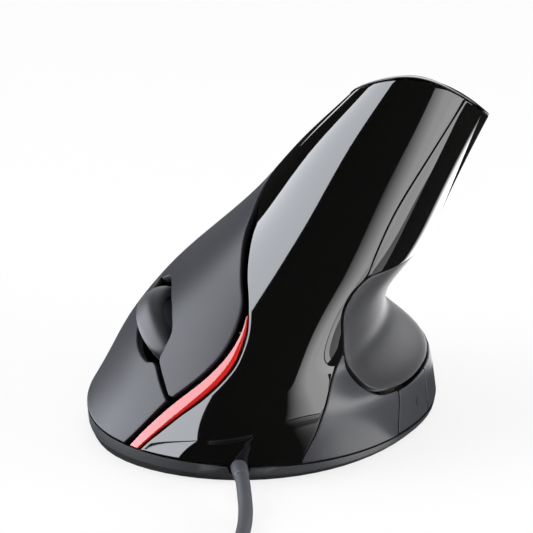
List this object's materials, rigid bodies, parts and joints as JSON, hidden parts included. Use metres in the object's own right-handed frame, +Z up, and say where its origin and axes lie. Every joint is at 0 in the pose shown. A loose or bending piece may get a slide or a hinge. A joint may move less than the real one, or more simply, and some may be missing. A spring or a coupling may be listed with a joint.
{
  "type": "computer mouse",
  "caption": "Right-handed vertical computer mouse with an upright fin, thumb rest, scroll wheel, finger and thumb buttons, and a corded plug.",
  "frame": {"origin": "on the desk, under the middle of the mouse without its cord", "axes": "+Z up, -Y towards the front where the cord leaves, +X towards the thumb side"},
  "size_m": [0.1039, 0.2837, 0.0957],
  "materials": {
    "shell_gloss": "high gloss",
    "panel_gloss": "gloss",
    "side_satin": "satin gloss",
    "key_satin": "satin gloss",
    "base_satin": "satin",
    "pad_rubber": "fine matte",
    "accent_red": "gloss, tinted",
    "tyre_rubber": "matte",
    "hub_plastic": "satin",
    "frame_plastic": "satin",
    "board_green": "solder mask",
    "chip_black": "matte",
    "switch_cream": "matte",
    "encoder_green": "matte",
    "socket_white": "matte",
    "lens_clear": "clear",
    "lamp_red": "gloss",
    "screw_steel": "plated",
    "axle_steel": "ground",
    "glide_black": "slick",
    "cord_rubber": "matte",
    "tie_black": "matte",
    "grip_rubber": "matte",
    "plug_steel": "plated",
    "tongue_white": "matte"
  },
  "bodies": {
    "mouse_body": {"base_plate": "base_satin", "front_shell": "shell_gloss", "palm_shell": "side_satin", "thumb_shell": "panel_gloss", "thumb_panel": "shell_gloss", "top_cap": "shell_gloss", "thumb_pad": "pad_rubber", "accent_strip": "accent_red", "wheel_switch": "switch_cream", "finger_board": "board_green", "index_switch": "switch_cream", "middle_switch": "switch_cream", "board_frame": "frame_plastic", "main_board": "board_green", "sensor_chip": "chip_black", "sensor_lens": "lens_clear", "sensor_lamp": "lamp_red", "control_chip": "chip_black", "cord_socket": "socket_white", "side_board": "board_green", "forward_switch": "switch_cream", "back_switch": "switch_cream", "screw_front_left": "screw_steel", "screw_front_right": "screw_steel", "screw_rear_left": "screw_steel", "screw_rear_right": "screw_steel", "glide_front": "glide_black", "glide_rear": "glide_black", "glide_left": "glide_black", "glide_right": "glide_black", "strain_relief": "cord_rubber", "cord_lead": "cord_rubber", "cord_coil": "cord_rubber", "coil_tie": "tie_black", "plug_grip": "grip_rubber", "plug_shell": "plug_steel", "plug_tongue": "tongue_white"},
    "wheel": {"wheel_tyre": "tyre_rubber", "wheel_hub": "hub_plastic", "wheel_axle": "axle_steel"},
    "carrier": {"wheel_carrier": "frame_plastic", "wheel_encoder": "encoder_green"},
    "index_key": {"index_button": "key_satin"},
    "middle_key": {"middle_button": "key_satin"},
    "forward_key": {"forward_button": "panel_gloss"},
    "back_key": {"back_button": "panel_gloss"}
  },
  "joints": [
    {"name": "wheel_click", "type": "slide", "parent": "mouse_body", "child": "carrier", "axis": [0.702, 0.3284, -0.632], "range_m": [0, 0.0005], "stiffness_N_per_m": 1500},
    {"name": "wheel_spin", "type": "hinge", "parent": "carrier", "child": "wheel", "pos_m": [-0.02475, -0.01819, 0.02877], "axis": [0.7061, -0.2049, 0.6778], "continuous": true},
    {"name": "index_press", "type": "hinge", "parent": "mouse_body", "child": "index_key", "pos_m": [-0.02922, 0.02258, 0.03634], "axis": [0.7109, -0.0701, 0.6998], "range_deg": [0, 0.5], "stiffness_Nm_per_rad": 3},
    {"name": "middle_press", "type": "hinge", "parent": "mouse_body", "child": "middle_key", "pos_m": [-0.04706, 0.02641, 0.00664], "axis": [0.5115, -0.1095, 0.8523], "range_deg": [0, 0.5], "stiffness_Nm_per_rad": 3},
    {"name": "forward_press", "type": "slide", "parent": "mouse_body", "child": "forward_key", "axis": [-0.9684, 0.2456, -0.0438], "range_m": [0, 0.0006], "stiffness_N_per_m": 1500},
    {"name": "back_press", "type": "slide", "parent": "mouse_body", "child": "back_key", "axis": [-0.9913, -0.0066, -0.1315], "range_m": [0, 0.0006], "stiffness_N_per_m": 1500}
  ]
}
